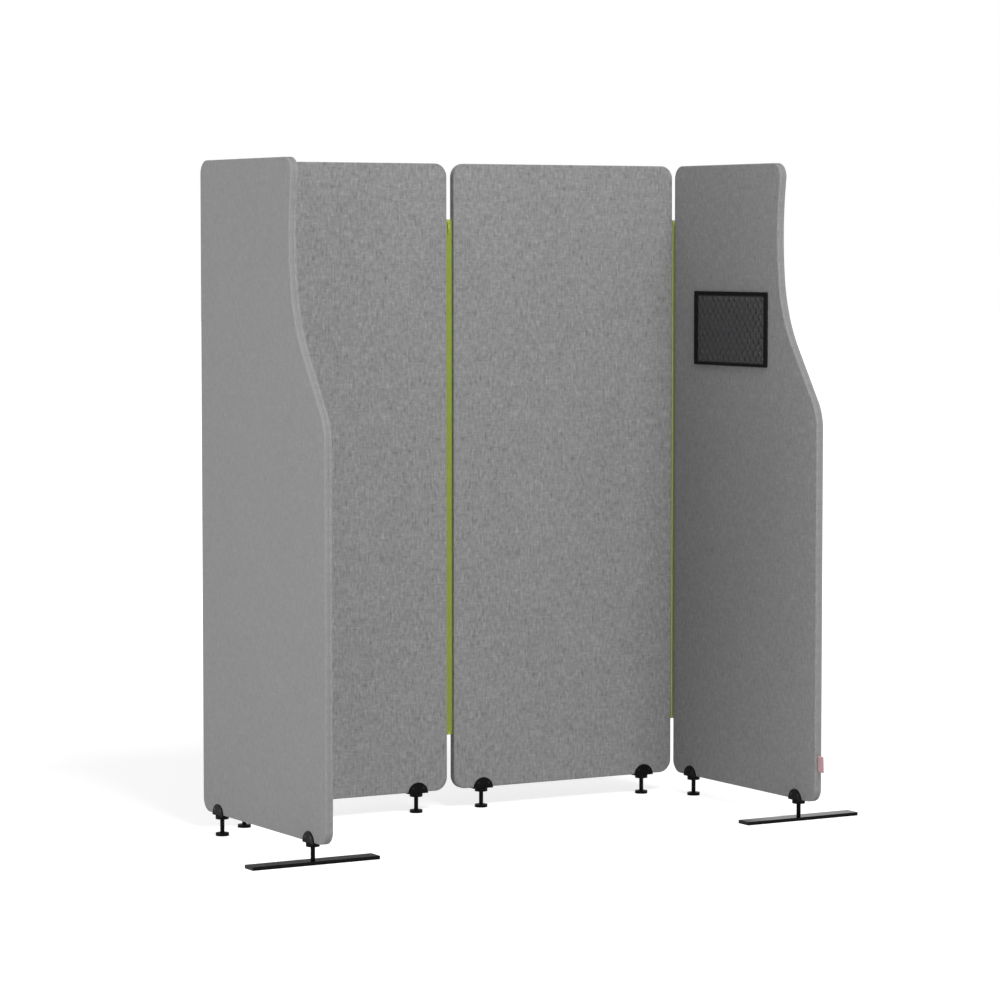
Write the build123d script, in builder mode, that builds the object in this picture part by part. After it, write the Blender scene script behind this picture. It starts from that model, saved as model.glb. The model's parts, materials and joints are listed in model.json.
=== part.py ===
from build123d import *
from math import asin, cos, degrees, radians, sin
import os

os.makedirs("parts", exist_ok=True)

# Sizes in millimetres. The row frame has its floor at Z 0, +X along the back row and -Y towards the open front.

# Panels
panel_width = 700
panel_height = 1700
panel_thickness = 22
panel_corner = 36
panel_gap = 21
floor_gap = 56

# Curved front edge of the two wings, from its lower bend up to the top corner
wave_drop = 705
bend_radius = 132
slope_length = 163
dip_radius = 416
flank_radius = 1027
wave_turn = 34
dip_turn = 27.3

# Fabric covers, the seam between them and the board inside
cover_wall = 3
edge_round = 3
seam_half = 1.5
seam_round = 1.4
seam_depth = 1.3
rail_width = 30
core_clearance = 0.1

# Feet
foot_inset = 91
cheek_radius = 30
cheek_thickness = 3.5
cheek_edge = 1
bridge_thickness = 3
collar_radius = 17.5
collar_drop = 12.2
collar_edge = 0.5
insert_radius = 6.75
insert_height = 24
insert_fit = 0.05
insert_end_gap = 0.1
stem_radius = 5.75
stem_fit = 0.05
stem_travel = 12
stem_grip = 10
stem_end_gap = 0.3
disc_radius = 17.5
disc_thickness = 8
disc_edge = 0.6
hub_radius = 9.5
hub_top_radius = 7.5
hub_height = 1.2
disc_floor = 3
bar_length = 355
bar_width = 48
bar_thickness = 9.2
bar_corner = 1.5
bar_edge = 0.6
pin_radius = 4
pin_fit = 0.05
rivet_radius = 7
rivet_height = 1.5
rivet_lift = 0.3
rivet_gap = 0.1
shoulder_gap = 0.1

# Countersunk screws through the cheeks
screw_spread = 16
screw_height = 12
screw_length = 11.5
screw_radius = 1.75
screw_head_radius = 3.4
screw_fit = 0.05
hex_radius = 1.3
hex_depth = 1.2

# Zips
zip_inset = 150
bead_radius = 1.2
tape_thickness = 1
chain_half_width = 3
chain_half_thickness = 1.1
chain_gap = 0.05
slider_half_width = 3.6
slider_half_thickness = 1.8
slider_length = 11
slider_fit = 0.1
slider_corner = 0.8
flange_slot_half = 0.6
wedge_half_width = 1.2
wedge_length = 4
stop_height = 4
stop_inner = 2
stop_half_thickness = 1.6
stop_gap = 0.5
box_height = 8
ear_inner = 1.6
ear_outer = 2.4
ear_radius = 1.5
pin_lift = 1.7
cross_pin_radius = 0.7
pull_fit = 0.05
pull_side_gap = 0.1
eye_radius = 1.4
pull_thickness = 1.2
pull_neck = 3.2
pull_half_width = 2.8
pull_length = 27
pull_slot_half = 1.1
pull_slot_length = 9

# Pocket on the inner face of the right wing, measured from the wing's rear end and lower edge
pocket_rear = 111.5
pocket_front = 467.5
pocket_low = 1151.5
pocket_high = 1354
pocket_corner = 4
gusset_depth = 5.1
gusset_wall = 1
mesh_thickness = 0.6
binding_thickness = 0.6
binding_rear = 20
binding_front = 13.5
binding_top = 11.5
binding_low = 9

# Blank tab sewn into the seam of the right wing's front edge
tab_low = 83
tab_high = 126
tab_reach = 25
tab_thickness = 1.2
tab_corner = 2

# Angles, in degrees, from a back panel's line to each corner link, and from that link to its wing
left_link_turn = 17
right_link_turn = 34
square_turn = 90

# Places that follow from the sizes
face = panel_thickness / 2
cavity_half = face - cover_wall
mid_half_gap = panel_gap / 2
overrun = 2 * cover_wall
bore_height = stem_travel + stem_grip
wave_rest = (
    wave_drop
    - bend_radius * sin(radians(wave_turn))
    - slope_length * cos(radians(wave_turn))
    - dip_radius * (sin(radians(wave_turn)) - sin(radians(wave_turn - dip_turn)))
)
flank_share = (
    wave_rest - flank_radius * sin(radians(wave_turn - dip_turn)) - panel_corner
) / (flank_radius + panel_corner)
wave_lean = degrees(asin(flank_share))

left_reach = mid_half_gap + panel_width + panel_gap * cos(radians(left_link_turn)) + bar_length / 2
right_reach = mid_half_gap + panel_width + panel_gap * cos(radians(right_link_turn)) + bar_length / 2
front_reach = panel_gap * sin(radians(right_link_turn)) + panel_width + tab_reach
centre_x = (left_reach - right_reach) / 2
back_y = (front_reach - disc_radius) / 2


# A panel's plane has X along the panel from its zip end, Y up and its origin on the lower edge.
def upright(x, y, heading):
    along = Vector(cos(radians(heading)), sin(radians(heading)), 0)
    return Plane(origin=(x, y, floor_gap), x_dir=along, z_dir=along.rotate(Axis.Z, -square_turn))


def beyond(plane, distance):
    return plane.from_local_coords((distance, 0, 0))


back_left = upright(centre_x - mid_half_gap, back_y, 180)
back_right = upright(centre_x + mid_half_gap, back_y, 0)
left_corner = beyond(back_left, panel_width)
right_corner = beyond(back_right, panel_width)
left_link = upright(left_corner.X, left_corner.Y, 180 + left_link_turn)
right_link = upright(right_corner.X, right_corner.Y, -right_link_turn)
centre_link = upright(centre_x - mid_half_gap, back_y, 0)
left_start = beyond(left_link, panel_gap)
right_start = beyond(right_link, panel_gap)
left_wing = upright(left_start.X, left_start.Y, -square_turn)
right_wing = upright(right_start.X, right_start.Y, -square_turn)

# Each panel: its plane, whether its front edge is curved, and the sign of Z on its inner side
panels = {
    "back_left": (back_left, False, -1),
    "back_right": (back_right, False, 1),
    "left_wing": (left_wing, True, -1),
    "right_wing": (right_wing, True, 1),
}
# Each zip: its plane and the sign of Z on the side of its pull
zips = {
    "centre": (centre_link, 1),
    "left_corner": (left_link, 1),
    "right_corner": (right_link, -1),
}
foot_places = {"near_zip": foot_inset, "far": panel_width - foot_inset}


# A panel's outline, set in from its full size by an inset
def outline(waved, inset):
    with BuildSketch() as shape:
        if waved:
            with BuildLine():
                base = Line((panel_corner, 0), (panel_width - panel_corner, 0))
                toe = JernArc(base @ 1, (1, 0), panel_corner, 90)
                edge = Line(toe @ 1, (panel_width, panel_height - wave_drop))
                bend = JernArc(edge @ 1, (0, 1), bend_radius, wave_turn)
                slope = Line(bend @ 1, bend @ 1 + (bend % 1) * slope_length)
                dip = JernArc(slope @ 1, slope % 1, dip_radius, -dip_turn)
                flank = JernArc(dip @ 1, dip % 1, flank_radius, dip_turn - wave_turn - wave_lean)
                brow = JernArc(flank @ 1, flank % 1, panel_corner, 90 + wave_lean)
                top = Line(brow @ 1, (panel_corner, panel_height))
                heel = JernArc(top @ 1, (-1, 0), panel_corner, 90)
                rear = Line(heel @ 1, (0, panel_corner))
                JernArc(rear @ 1, (0, -1), panel_corner, 90)
            make_face()
            if inset:
                offset(amount=-inset, mode=Mode.REPLACE)
        else:
            with Locations((panel_width / 2, panel_height / 2)):
                RectangleRounded(panel_width - 2 * inset, panel_height - 2 * inset, panel_corner - inset)
    return shape.sketch


# The horizontal plane at a height over the lower edge, centred on a foot
def level(plane, along, height):
    return Plane(origin=plane.from_local_coords((along, height, 0)), x_dir=plane.x_dir, z_dir=(0, 0, 1))


# The planes of one panel's screws, on the outside of the cheeks and facing out
def screw_planes(plane):
    found = []
    for along in foot_places.values():
        for step in (-screw_spread, screw_spread):
            for side in (-1, 1):
                spot = plane.from_local_coords((along + step, screw_height, side * (face + cheek_thickness)))
                found.append(Plane(origin=spot, x_dir=plane.x_dir, z_dir=plane.z_dir * side))
    return found


for name, (plane, waved, inner) in panels.items():
    # Cutters that the covers, the board and the brackets share
    with BuildPart() as screw_room:
        for spot in screw_planes(plane):
            with BuildSketch(spot):
                Circle(screw_radius + screw_fit)
            extrude(amount=-(screw_length + insert_end_gap))
    with BuildPart() as insert_room:
        for along in foot_places.values():
            with BuildSketch(level(plane, along, -overrun)):
                Circle(insert_radius + insert_fit)
            extrude(amount=overrun + insert_height + insert_end_gap)

    # Two fabric covers meet at a seam along the middle of the edges
    for cover_face, side in (("inner", inner), ("outer", -inner)):
        with BuildPart() as cover:
            with BuildSketch(plane.offset(side * seam_half)):
                add(outline(waved, 0))
            extrude(amount=side * (face - seam_half))
            ends = cover.faces().sort_by(Axis(plane.origin, plane.z_dir * side))
            fillet(ends[-1].edges(), edge_round)
            ends = cover.faces().sort_by(Axis(plane.origin, plane.z_dir * side))
            fillet(ends[0].edges(), seam_round)
            with BuildSketch(plane.offset(side * seam_half)):
                add(outline(waved, cover_wall))
            extrude(amount=side * (cavity_half - seam_half), mode=Mode.SUBTRACT)
            add(screw_room.part, mode=Mode.SUBTRACT)
            add(insert_room.part, mode=Mode.SUBTRACT)
        cover.part.label = f"{cover_face}_cover_{name}"
        export_step(cover.part, f"parts/{cover_face}_cover_{name}.step")

    # The wooden rail runs all round and has a rib that fills the seam
    with BuildPart() as frame:
        with BuildSketch(plane):
            add(outline(waved, cover_wall))
        extrude(amount=cavity_half, both=True)
        with BuildSketch(plane):
            add(outline(waved, seam_depth))
        extrude(amount=seam_half, both=True)
        with BuildSketch(plane):
            add(outline(waved, cover_wall + rail_width))
        extrude(amount=face, both=True, mode=Mode.SUBTRACT)
        add(screw_room.part, mode=Mode.SUBTRACT)
        add(insert_room.part, mode=Mode.SUBTRACT)
    frame.part.label = f"frame_{name}"
    export_step(frame.part, f"parts/frame_{name}.step")

    # Sound absorbing board inside the rail
    with BuildPart() as core:
        with BuildSketch(plane):
            add(outline(waved, cover_wall + rail_width + core_clearance))
        extrude(amount=cavity_half, both=True)
    core.part.label = f"core_{name}"
    export_step(core.part, f"parts/core_{name}.step")

    # A bracket grips the lower edge over each foot, and holds the stem in its insert
    for place, along in foot_places.items():
        with BuildPart() as bracket:
            with BuildSketch(plane):
                with Locations((along, -bridge_thickness)):
                    Circle(cheek_radius)
                with Locations((along, -bridge_thickness)):
                    Rectangle(2 * cheek_radius, cheek_radius, align=(Align.CENTER, Align.MAX), mode=Mode.SUBTRACT)
            extrude(amount=face + cheek_thickness, both=True)
            rims = bracket.edges().filter_by(GeomType.CIRCLE)
            fillet(rims, cheek_edge)
            with BuildSketch(plane):
                with Locations((along, 0)):
                    Rectangle(2 * cheek_radius, 2 * cheek_radius, align=(Align.CENTER, Align.MIN))
            extrude(amount=face, both=True, mode=Mode.SUBTRACT)
            with BuildSketch(level(plane, along, -bridge_thickness)):
                Circle(collar_radius)
            extrude(amount=bridge_thickness - collar_drop)
            low = bracket.faces().sort_by(Axis.Z)[0]
            chamfer(low.edges(), collar_edge)
            with BuildSketch(level(plane, along, -bridge_thickness)):
                Circle(insert_radius)
            extrude(amount=bridge_thickness + insert_height)
            with BuildSketch(level(plane, along, -collar_drop)):
                Circle(stem_radius + stem_fit)
            extrude(amount=collar_drop + bore_height, mode=Mode.SUBTRACT)
            for spot in screw_planes(plane):
                near = abs(plane.to_local_coords(spot.origin).X - along) < cheek_radius
                if near:
                    with BuildSketch(spot):
                        Circle(screw_radius + screw_fit)
                    extrude(amount=-(cheek_thickness + insert_end_gap), mode=Mode.SUBTRACT)
                    head_depth = screw_head_radius - screw_radius
                    with Locations(spot.location):
                        Cone(
                            screw_radius + screw_fit,
                            screw_head_radius + screw_fit,
                            head_depth,
                            align=(Align.CENTER, Align.CENTER, Align.MAX),
                            mode=Mode.SUBTRACT,
                        )
        bracket.part.label = f"bracket_{name}_{place}"
        export_step(bracket.part, f"parts/bracket_{name}_{place}.step")

    # Countersunk screws with a hexagon socket
    with BuildPart() as screws:
        for spot in screw_planes(plane):
            head_depth = screw_head_radius - screw_radius
            with Locations(spot.location):
                Cone(
                    screw_radius,
                    screw_head_radius,
                    head_depth,
                    align=(Align.CENTER, Align.CENTER, Align.MAX),
                )
                Cylinder(screw_radius, screw_length, align=(Align.CENTER, Align.CENTER, Align.MAX))
            with BuildSketch(spot):
                RegularPolygon(hex_radius, 6)
            extrude(amount=-hex_depth, mode=Mode.SUBTRACT)
    screws.part.label = f"screws_{name}"
    export_step(screws.part, f"parts/screws_{name}.step")

    # Feet: a screwed stem on a round disc, or on a long bar under the front of each wing
    for place, along in foot_places.items():
        on_bar = waved and place == "far"
        stem_low = bar_thickness + shoulder_gap if on_bar else disc_floor
        with BuildPart() as stem:
            with BuildSketch(level(plane, along, stem_low - floor_gap)):
                Circle(stem_radius)
            extrude(amount=floor_gap + bore_height - stem_end_gap - stem_low)
            if on_bar:
                with BuildSketch(level(plane, along, rivet_lift - floor_gap)):
                    Circle(pin_radius)
                extrude(amount=stem_low - rivet_lift)
                with BuildSketch(level(plane, along, rivet_lift - floor_gap)):
                    Circle(rivet_radius)
                extrude(amount=rivet_height)
        stem.part.label = f"stem_{name}_{place}"
        export_step(stem.part, f"parts/stem_{name}_{place}.step")

        if on_bar:
            with BuildPart() as bar:
                with BuildSketch(level(plane, along, -floor_gap)):
                    RectangleRounded(bar_width, bar_length, bar_corner)
                extrude(amount=bar_thickness)
                fillet(bar.edges().group_by(Axis.Z)[-1], bar_edge)
                fillet(bar.edges().group_by(Axis.Z)[0], bar_edge / 2)
                with BuildSketch(level(plane, along, -floor_gap)):
                    Circle(pin_radius + pin_fit)
                extrude(amount=bar_thickness, mode=Mode.SUBTRACT)
                with BuildSketch(level(plane, along, -floor_gap)):
                    Circle(rivet_radius + rivet_gap)
                extrude(amount=rivet_lift + rivet_height + rivet_gap, mode=Mode.SUBTRACT)
            bar.part.label = f"bar_{name}"
            export_step(bar.part, f"parts/bar_{name}.step")
        else:
            with BuildPart() as disc:
                with BuildSketch(level(plane, along, -floor_gap)):
                    Circle(disc_radius)
                extrude(amount=disc_thickness)
                fillet(disc.edges().group_by(Axis.Z)[-1], disc_edge)
                with BuildSketch(level(plane, along, disc_thickness - floor_gap)):
                    Circle(hub_radius)
                with BuildSketch(level(plane, along, disc_thickness + hub_height - floor_gap)):
                    Circle(hub_top_radius)
                loft()
                with BuildSketch(level(plane, along, disc_floor - floor_gap)):
                    Circle(stem_radius + stem_fit)
                extrude(amount=disc_thickness + hub_height, mode=Mode.SUBTRACT)
            disc.part.label = f"disc_{name}_{place}"
            export_step(disc.part, f"parts/disc_{name}_{place}.step")

# Zips: two tapes with a bead in each panel's seam, the closed chain, the slider and its pull
tape_end = mid_half_gap - chain_half_width - chain_gap
zip_height = panel_height - 2 * zip_inset
stop_low = panel_height - zip_inset - stop_height
slider_low = stop_low - stop_gap - slider_length
chain_low = zip_inset + box_height + chain_gap
chain_high = stop_low - stop_gap - wedge_length - slider_fit
plate_inner = chain_half_thickness + slider_fit
flange_inner = chain_half_width + slider_fit
pin_height = slider_low + slider_length / 2

for name, (plane, out) in zips.items():
    middle = plane.shift_origin(plane.from_local_coords((mid_half_gap, 0, 0)))

    with BuildPart() as tapes:
        with BuildSketch(level(plane, 0, zip_inset)):
            for edge, way in ((0, 1), (panel_gap, -1)):
                with Locations((edge, 0)):
                    Circle(bead_radius)
                with Locations((edge + way * tape_end / 2, 0)):
                    Rectangle(tape_end, tape_thickness)
        extrude(amount=zip_height)
        with BuildSketch(level(middle, 0, zip_inset)):
            Rectangle(2 * slider_half_width, 2 * slider_half_thickness)
        extrude(amount=box_height)
        with BuildSketch(level(middle, 0, stop_low)):
            for way in (-1, 1):
                with Locations((way * (slider_half_width + stop_inner) / 2, 0)):
                    Rectangle(slider_half_width - stop_inner, 2 * stop_half_thickness)
        extrude(amount=stop_height)
    tapes.part.label = f"zip_tapes_{name}"
    export_step(tapes.part, f"parts/zip_tapes_{name}.step")

    with BuildPart() as chain:
        with BuildSketch(level(middle, 0, chain_low)):
            Rectangle(2 * chain_half_width, 2 * chain_half_thickness)
        extrude(amount=chain_high - chain_low)
        fillet(chain.edges().filter_by(Axis.Z), chain_half_thickness / 2)
    chain.part.label = f"zip_chain_{name}"
    export_step(chain.part, f"parts/zip_chain_{name}.step")

    with BuildPart() as slider:
        with BuildSketch(level(middle, 0, slider_low)):
            RectangleRounded(2 * slider_half_width, 2 * slider_half_thickness, slider_corner)
            Rectangle(2 * flange_inner, 2 * plate_inner, mode=Mode.SUBTRACT)
            Rectangle(2 * slider_half_width, 2 * flange_slot_half, mode=Mode.SUBTRACT)
        extrude(amount=slider_length)
        with BuildSketch(level(middle, 0, slider_low + slider_length - wedge_length)):
            Rectangle(2 * wedge_half_width, 2 * plate_inner)
        extrude(amount=wedge_length)
        for way in (-1, 1):
            foot = middle.from_local_coords((way * ear_inner, pin_height, out * slider_half_thickness))
            with BuildSketch(Plane(origin=foot, x_dir=plane.z_dir * out, z_dir=plane.x_dir * way)):
                Rectangle(pin_lift, 2 * ear_radius, align=(Align.MIN, Align.CENTER))
                with Locations((pin_lift, 0)):
                    Circle(ear_radius)
            extrude(amount=ear_outer - ear_inner)
        pin_end = middle.from_local_coords((-ear_outer, pin_height, out * (slider_half_thickness + pin_lift)))
        with BuildSketch(Plane(origin=pin_end, x_dir=plane.z_dir * out, z_dir=plane.x_dir)):
            Circle(cross_pin_radius)
        extrude(amount=2 * ear_outer)
    slider.part.label = f"zip_slider_{name}"
    export_step(slider.part, f"parts/zip_slider_{name}.step")

    with BuildPart() as pull:
        eye_side = middle.from_local_coords((0, pin_height, out * (slider_half_thickness + pin_lift)))
        with BuildSketch(Plane(origin=eye_side, x_dir=plane.z_dir * out, z_dir=plane.x_dir)):
            Circle(eye_radius)
        extrude(amount=ear_inner - pull_side_gap, both=True)
        with BuildSketch(Plane(origin=eye_side, x_dir=plane.x_dir, z_dir=plane.z_dir)):
            Rectangle(2 * (ear_inner - pull_side_gap), pull_neck, align=(Align.CENTER, Align.MAX))
            with Locations((0, -pull_neck)):
                Rectangle(2 * pull_half_width, pull_length - pull_neck, align=(Align.CENTER, Align.MAX))
            fillet(vertices().sort_by(Axis.Y)[:2], pull_half_width - pull_fit)
            with Locations((0, pull_half_width + pull_slot_length / 2 - pull_length)):
                SlotOverall(pull_slot_length, 2 * pull_slot_half, rotation=90, mode=Mode.SUBTRACT)
        extrude(amount=pull_thickness / 2, both=True)
        with BuildSketch(Plane(origin=eye_side, x_dir=plane.z_dir * out, z_dir=plane.x_dir)):
            Circle(cross_pin_radius + pull_fit)
        extrude(amount=ear_outer, both=True, mode=Mode.SUBTRACT)
    pull.part.label = f"zip_pull_{name}"
    export_step(pull.part, f"parts/zip_pull_{name}.step")

# Flat pocket: a gusset round three sides, a mesh front and a binding over its edges
pocket_width = pocket_front - pocket_rear
pocket_height = pocket_high - pocket_low
pocket_middle = (pocket_rear + pocket_front) / 2
mesh_low = face + gusset_depth
binding_low_face = mesh_low + mesh_thickness


# The pocket's outline with square top corners, set in on three sides and run up past the top
def pocket_outline(inset, rise):
    with BuildSketch() as shape:
        with Locations((pocket_middle, pocket_low + inset)):
            Rectangle(
                pocket_width - 2 * inset,
                pocket_height - inset + rise,
                align=(Align.CENTER, Align.MIN),
            )
        fillet(shape.vertices().sort_by(Axis.Y)[:2], pocket_corner - inset)
    return shape.sketch


with BuildPart() as gusset:
    with BuildSketch(right_wing.offset(face)):
        add(pocket_outline(0, 0))
        add(pocket_outline(gusset_wall, overrun), mode=Mode.SUBTRACT)
    extrude(amount=gusset_depth)
gusset.part.label = "pocket_gusset"
export_step(gusset.part, "parts/pocket_gusset.step")

with BuildPart() as mesh:
    with BuildSketch(right_wing.offset(mesh_low)):
        add(pocket_outline(0, 0))
    extrude(amount=mesh_thickness)
mesh.part.label = "pocket_mesh"
export_step(mesh.part, "parts/pocket_mesh.step")

with BuildPart() as binding:
    with BuildSketch(right_wing.offset(binding_low_face)):
        add(pocket_outline(0, 0))
        with Locations((pocket_rear + binding_rear, pocket_low + binding_low)):
            Rectangle(
                pocket_width - binding_rear - binding_front,
                pocket_height - binding_low - binding_top,
                align=(Align.MIN, Align.MIN),
                mode=Mode.SUBTRACT,
            )
    extrude(amount=binding_thickness)
binding.part.label = "pocket_binding"
export_step(binding.part, "parts/pocket_binding.step")

with BuildPart() as tab:
    with BuildSketch(right_wing):
        with Locations((panel_width - seam_depth, (tab_low + tab_high) / 2)):
            Rectangle(seam_depth + tab_reach, tab_high - tab_low, align=(Align.MIN, Align.CENTER))
        fillet(vertices().sort_by(Axis.X)[-2:], tab_corner)
    extrude(amount=tab_thickness / 2, both=True)
tab.part.label = "blank_tab"
export_step(tab.part, "parts/blank_tab.step")
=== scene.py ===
import json
from math import asin, cos, degrees, pi, radians, sin

import bmesh
import bpy
from mathutils import Matrix, Vector


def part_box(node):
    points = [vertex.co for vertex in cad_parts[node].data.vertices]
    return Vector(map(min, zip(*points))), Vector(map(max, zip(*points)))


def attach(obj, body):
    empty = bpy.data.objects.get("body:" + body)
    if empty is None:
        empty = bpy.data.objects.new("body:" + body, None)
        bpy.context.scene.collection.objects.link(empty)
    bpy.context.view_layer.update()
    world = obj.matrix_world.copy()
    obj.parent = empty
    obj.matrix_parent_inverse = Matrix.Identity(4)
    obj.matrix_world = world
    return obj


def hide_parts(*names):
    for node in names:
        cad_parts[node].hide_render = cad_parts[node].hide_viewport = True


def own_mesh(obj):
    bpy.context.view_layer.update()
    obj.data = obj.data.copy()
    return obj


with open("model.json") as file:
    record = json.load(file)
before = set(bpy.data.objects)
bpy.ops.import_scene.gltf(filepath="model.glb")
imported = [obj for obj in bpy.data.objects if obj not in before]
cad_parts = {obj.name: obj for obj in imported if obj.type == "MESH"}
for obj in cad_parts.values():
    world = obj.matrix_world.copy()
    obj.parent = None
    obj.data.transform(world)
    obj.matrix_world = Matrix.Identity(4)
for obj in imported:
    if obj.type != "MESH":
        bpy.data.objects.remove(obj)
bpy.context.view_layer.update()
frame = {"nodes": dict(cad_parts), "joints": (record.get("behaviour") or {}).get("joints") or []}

mm = 0.001
print("frame loaded:", len(frame["nodes"]), "nodes")

# Camera, at the photograph's angle
cameraSet = {"place": (-4.93157, -8.48458, 1.53610), "yaw": -29.942, "pitch": 3.895, "lens": 134.635,
             "sensor": 36}


def placeCamera():
    data = bpy.data.cameras.new("camera")
    data.lens = cameraSet["lens"]
    data.sensor_width = cameraSet["sensor"]
    data.clip_end = 200
    camera = bpy.data.objects.new("camera", data)
    camera.location = cameraSet["place"]
    camera.rotation_euler = (radians(90 - cameraSet["pitch"]), 0, radians(cameraSet["yaw"]))
    bpy.context.scene.collection.objects.link(camera)
    bpy.context.scene.camera = camera


placeCamera()
bpy.context.scene.view_settings.view_transform = "Standard"
print("camera placed")


# Node helpers
def addNode(tree, kind, values=None, **settings):
    made = tree.nodes.new(kind)
    for name, value in settings.items():
        setattr(made, name, value)
    for name, value in (values or {}).items():
        made.inputs[name].default_value = value
    return made


def mathNode(tree, operation, first, second=None):
    made = addNode(tree, "ShaderNodeMath", operation=operation)
    for index, value in enumerate((first, second)):
        if value is None:
            continue
        if isinstance(value, (int, float)):
            made.inputs[index].default_value = value
        else:
            tree.links.new(value, made.inputs[index])
    return made.outputs[0]


def scaleVector(tree, vector, across):
    made = addNode(tree, "ShaderNodeVectorMath", {1: across}, operation="MULTIPLY")
    tree.links.new(vector, made.inputs[0])
    return made.outputs[0]


def noiseOn(tree, vector, scale, detail=2, rough=0.5):
    made = addNode(tree, "ShaderNodeTexNoise", {"Scale": scale, "Detail": detail, "Roughness": rough})
    tree.links.new(vector, made.inputs["Vector"])
    return made.outputs["Fac"]


def rangeOf(tree, value, low, high, newLow, newHigh):
    made = addNode(tree, "ShaderNodeMapRange", {1: low, 2: high, 3: newLow, 4: newHigh})
    tree.links.new(value, made.inputs[0])
    return made.outputs[0]


def groupTree(name, inputs, outputs):
    tree = bpy.data.node_groups.new(name, "ShaderNodeTree")
    for label, kind, value in inputs:
        socket = tree.interface.new_socket(name=label, in_out="INPUT", socket_type=kind)
        if value is not None:
            socket.default_value = value
    for label, kind in outputs:
        tree.interface.new_socket(name=label, in_out="OUTPUT", socket_type=kind)
    return tree, tree.nodes.new("NodeGroupInput"), tree.nodes.new("NodeGroupOutput")


# One stretched noise about nought: across and up are features a metre
def streaks(tree, vector, across, up, gain, detail=1):
    fac = noiseOn(tree, scaleVector(tree, vector, (across, up, across)), 1.0, detail, 0.55)
    return mathNode(tree, "MULTIPLY", mathNode(tree, "SUBTRACT", fac, 0.5), gain)


# Plain weave of flecked yarn under a melange of streaks and slubs. Threads is threads a metre.
def makeWeaveGroup():
    tree, given, out = groupTree(
        "fleckedWeave",
        [("Vector", "NodeSocketVector", None), ("Threads", "NodeSocketFloat", 1100.0),
         ("Fleck", "NodeSocketFloat", 0.5), ("Melange", "NodeSocketFloat", 1.0)],
        [("Tone", "NodeSocketFloat"), ("Height", "NodeSocketFloat")],
    )
    vector = given.outputs["Vector"]
    threads = addNode(tree, "ShaderNodeVectorMath", operation="SCALE")
    tree.links.new(vector, threads.inputs[0])
    tree.links.new(given.outputs["Threads"], threads.inputs["Scale"])
    apart = tree.nodes.new("ShaderNodeSeparateXYZ")
    tree.links.new(threads.outputs[0], apart.inputs[0])
    humps = []
    for axis in ("X", "Y"):
        turned = mathNode(tree, "MULTIPLY", apart.outputs[axis], pi)
        humps.append(mathNode(tree, "ABSOLUTE", mathNode(tree, "SINE", turned)))
    height = mathNode(tree, "SQRT", mathNode(tree, "MULTIPLY", humps[0], humps[1]))
    # each thread keeps its own shade along its length, and warp and weft take turns on top
    checker = addNode(tree, "ShaderNodeTexChecker", {"Scale": 1.0})
    tree.links.new(threads.outputs[0], checker.inputs["Vector"])
    yarn = addNode(tree, "ShaderNodeMix")
    tree.links.new(checker.outputs["Fac"], yarn.inputs[0])
    for socket, stretch in ((2, (1.0, 0.05, 1.0)), (3, (0.05, 1.0, 1.0))):
        tree.links.new(noiseOn(tree, scaleVector(tree, threads.outputs[0], stretch), 1.0),
                       yarn.inputs[socket])
    fleck = mathNode(tree, "MULTIPLY", mathNode(tree, "SUBTRACT", yarn.outputs[0], 0.5),
                     given.outputs["Fleck"])
    melange = None
    for across, up, gain, detail in ((125.0, 62.0, 1.5, 2), (70.0, 150.0, 0.6, 1), (26.0, 18.0, 0.45, 2),
                                     (5.0, 4.0, 0.2, 1)):
        layer = streaks(tree, vector, across, up, gain, detail)
        melange = layer if melange is None else mathNode(tree, "ADD", melange, layer)
    # thin slubs, light and dark, longer and more frequent up the cloth than across it
    tall = streaks(tree, vector, 210.0, 32.0, 1.0)
    wide = streaks(tree, vector, 34.0, 230.0, 1.0)
    for streak, low, high, most in ((tall, 0.08, 0.2, 0.35), (tall, -0.1, -0.22, -0.4),
                                    (wide, 0.1, 0.22, 0.3),
                                    (wide, -0.12, -0.24, -0.3)):
        melange = mathNode(tree, "ADD", melange, rangeOf(tree, streak, low, high, 0.0, most))
    melange = mathNode(tree, "MULTIPLY", melange, given.outputs["Melange"])
    tree.links.new(mathNode(tree, "ADD", fleck, melange), out.inputs["Tone"])
    raised = mathNode(tree, "ADD", height, mathNode(tree, "MULTIPLY", melange, 0.4))
    tree.links.new(raised, out.inputs["Height"])
    return tree


# Narrow woven tape: a herringbone across, ribs along, with painted shade in the hollows of the weave
def makeTapeGroup():
    tree, given, out = groupTree(
        "herringboneTape",
        [("Vector", "NodeSocketVector", None), ("Ribs", "NodeSocketFloat", 1400.0)],
        [("Tone", "NodeSocketFloat"), ("Height", "NodeSocketFloat")],
    )
    ribs = addNode(tree, "ShaderNodeVectorMath", operation="SCALE")
    tree.links.new(given.outputs["Vector"], ribs.inputs[0])
    tree.links.new(given.outputs["Ribs"], ribs.inputs["Scale"])
    apart = tree.nodes.new("ShaderNodeSeparateXYZ")
    tree.links.new(ribs.outputs[0], apart.inputs[0])
    fold = mathNode(tree, "PINGPONG", apart.outputs["X"], 3.0)
    slant = mathNode(tree, "ADD", apart.outputs["Y"], fold)
    twill = mathNode(tree, "ABSOLUTE", mathNode(tree, "SINE", mathNode(tree, "MULTIPLY", slant, pi)))
    rib = mathNode(tree, "ABSOLUTE", mathNode(tree, "SINE", mathNode(tree, "MULTIPLY", apart.outputs["X"],
                                                                     pi)))
    height = mathNode(tree, "MULTIPLY", mathNode(tree, "POWER", twill, 0.6),
                      mathNode(tree, "POWER", rib, 0.3))
    soil = noiseOn(tree, given.outputs["Vector"], 60.0, 3)
    # tone follows the weave's height, so the hollows are darker (painted shade), with random soiling added on
    # top
    tone = mathNode(tree, "ADD", rangeOf(tree, height, 0.0, 1.0, -0.25, 0.1),
                    rangeOf(tree, soil, 0.3, 0.7, -0.1, 0.1))
    tree.links.new(tone, out.inputs["Tone"])
    tree.links.new(height, out.inputs["Height"])
    return tree


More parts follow.
